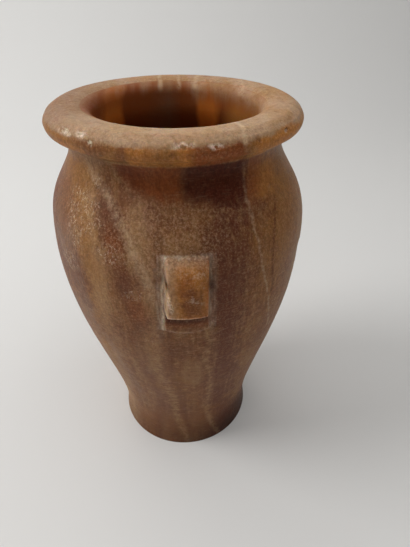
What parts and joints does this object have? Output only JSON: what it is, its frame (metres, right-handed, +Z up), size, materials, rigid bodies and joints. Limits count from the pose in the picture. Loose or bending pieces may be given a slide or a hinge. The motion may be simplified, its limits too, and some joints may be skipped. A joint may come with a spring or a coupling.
{
  "type": "amphoriskos",
  "caption": "Small carved stone amphoriskos: broad flat lip, short neck, swelling shoulder, tapering body on a low foot, pierced lugs high on opposite sides.",
  "frame": {"origin": "centre of the flat underside of the foot", "axes": "+Z up along the vessel's turning axis; one pierced lug faces -Y, its twin faces +Y"},
  "size_m": [0.087, 0.0964, 0.14],
  "materials": {
    "calcite": "satin, worn polish, translucent bands"
  },
  "bodies": {
    "root": {"vessel": "calcite"}
  },
  "joints": []
}
